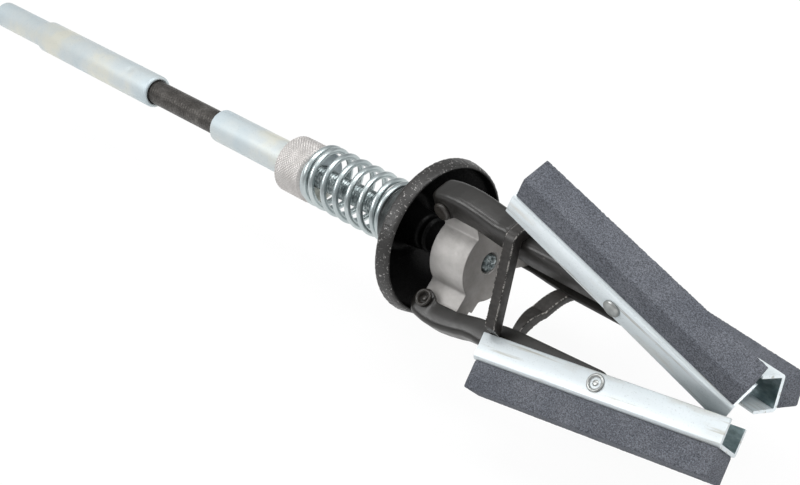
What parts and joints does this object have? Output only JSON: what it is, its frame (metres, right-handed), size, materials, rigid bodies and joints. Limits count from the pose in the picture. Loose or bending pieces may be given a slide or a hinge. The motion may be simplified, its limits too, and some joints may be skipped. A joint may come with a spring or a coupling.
{
  "type": "cylinder hone",
  "caption": "Cylinder hone with a flexible shaft: a spring-loaded cup and swinging arms press rocking abrasive stones outward against a bore.",
  "frame": {"origin": "on the spin axis, in the middle of the chuck shank", "axes": "+X along the spin axis from the shank to the stones, +Z outward along the top arm"},
  "size_m": [0.4567, 0.087, 0.0917],
  "materials": {
    "zinc_steel": "bright zinc plate, satin",
    "dark_wire": "dark wound wire",
    "aluminium": "knurled, bare",
    "black_cup": "black, rough rim",
    "diecast": "die-cast, satin grey",
    "rubber": "black rubber, satin",
    "black_arm": "smooth glossy black",
    "holder_zinc": "zinc plate, slightly stained",
    "abrasive": "open grey grit"
  },
  "bodies": {
    "drive": {"drive_shank": "zinc_steel"},
    "flex": {"flexible_shaft": "dark_wire"},
    "stem": {"stem": "zinc_steel", "hub": "diecast", "pressure_spring": "zinc_steel", "retaining_band": "rubber"},
    "washer": {"thrust_washer": "zinc_steel"},
    "nut": {"adjusting_nut": "aluminium"},
    "cup": {"pressure_cup": "black_cup"},
    "arm_top": {"arm_top": "black_arm", "pivot_rivet_top": "black_arm"},
    "holder_top": {"stone_holder_top": "holder_zinc", "stone_top": "abrasive", "stone_rivet_top": "holder_zinc"},
    "arm_near": {"arm_near": "black_arm", "pivot_rivet_near": "black_arm"},
    "holder_near": {"stone_holder_near": "holder_zinc", "stone_near": "abrasive", "stone_rivet_near": "holder_zinc"},
    "arm_far": {"arm_far": "black_arm", "pivot_rivet_far": "black_arm"},
    "holder_far": {"stone_holder_far": "holder_zinc", "stone_far": "abrasive", "stone_rivet_far": "holder_zinc"}
  },
  "joints": [
    {"name": "flex_pitch", "type": "hinge", "parent": "drive", "child": "flex", "pos_m": [0.118, 0, 0], "axis": [0, 1, 0], "range_deg": [-8, 8], "stiffness_Nm_per_rad": 80, "deforming": ["flexible_shaft"]},
    {"name": "flex_yaw", "type": "hinge", "parent": "flex", "child": "stem", "pos_m": [0.141, 0, 0], "axis": [0, 0, 1], "range_deg": [-8, 8], "stiffness_Nm_per_rad": 80, "deforming": ["flexible_shaft"]},
    {"name": "nut_advance", "type": "slide", "parent": "stem", "child": "washer", "axis": [1, 0, 0], "range_m": [0, 0.016], "deforming": ["pressure_spring"]},
    {"name": "nut_spin", "type": "hinge", "parent": "washer", "child": "nut", "pos_m": [0.209, 0, 0], "axis": [1, 0, 0], "range_deg": [0, 3800]},
    {"name": "cup_advance", "type": "slide", "parent": "stem", "child": "cup", "axis": [1, 0, 0], "range_m": [0, 0.0046], "deforming": ["pressure_spring"]},
    {"name": "arm_swing_top", "type": "hinge", "parent": "stem", "child": "arm_top", "pos_m": [0.3, 0, 0.0236], "axis": [0, -1, 0], "range_deg": [0, 35], "stiffness_Nm_per_rad": 2, "deforming": ["retaining_band"]},
    {"name": "holder_turn_top", "type": "hinge", "parent": "arm_top", "child": "holder_top", "pos_m": [0.3836, 0, 0.021], "axis": [0, -1, 0], "range_deg": [-6.1, 0]},
    {"name": "arm_swing_near", "type": "hinge", "parent": "stem", "child": "arm_near", "pos_m": [0.3, -0.02044, -0.0118], "axis": [0, 0.5, -0.866], "range_deg": [0, 35.1], "stiffness_Nm_per_rad": 2, "deforming": ["retaining_band"]},
    {"name": "holder_turn_near", "type": "hinge", "parent": "arm_near", "child": "holder_near", "pos_m": [0.3836, -0.01819, -0.0105], "axis": [0, 0.5, -0.866], "range_deg": [-27.2, 0]},
    {"name": "arm_swing_far", "type": "hinge", "parent": "stem", "child": "arm_far", "pos_m": [0.3, 0.02044, -0.0118], "axis": [0, 0.5, 0.866], "range_deg": [0, 35.1], "stiffness_Nm_per_rad": 2, "deforming": ["retaining_band"]},
    {"name": "holder_turn_far", "type": "hinge", "parent": "arm_far", "child": "holder_far", "pos_m": [0.3836, 0.01819, -0.0105], "axis": [0, 0.5, 0.866], "range_deg": [-21.7, 0]}
  ],
  "couplings": [
    {"joint": "nut_advance", "follows": "nut_spin", "m_per_rad": 0.00023873},
    {"joint": "cup_advance", "follows": "arm_swing_top", "m_per_rad": 0.007367},
    {"joint": "holder_turn_top", "follows": "arm_swing_top", "ratio": -0.17143},
    {"joint": "arm_swing_near", "follows": "arm_swing_top", "ratio": 1},
    {"joint": "holder_turn_near", "follows": "arm_swing_top", "ratio": -0.77429},
    {"joint": "arm_swing_far", "follows": "arm_swing_top", "ratio": 1},
    {"joint": "holder_turn_far", "follows": "arm_swing_top", "ratio": -0.61714}
  ]
}
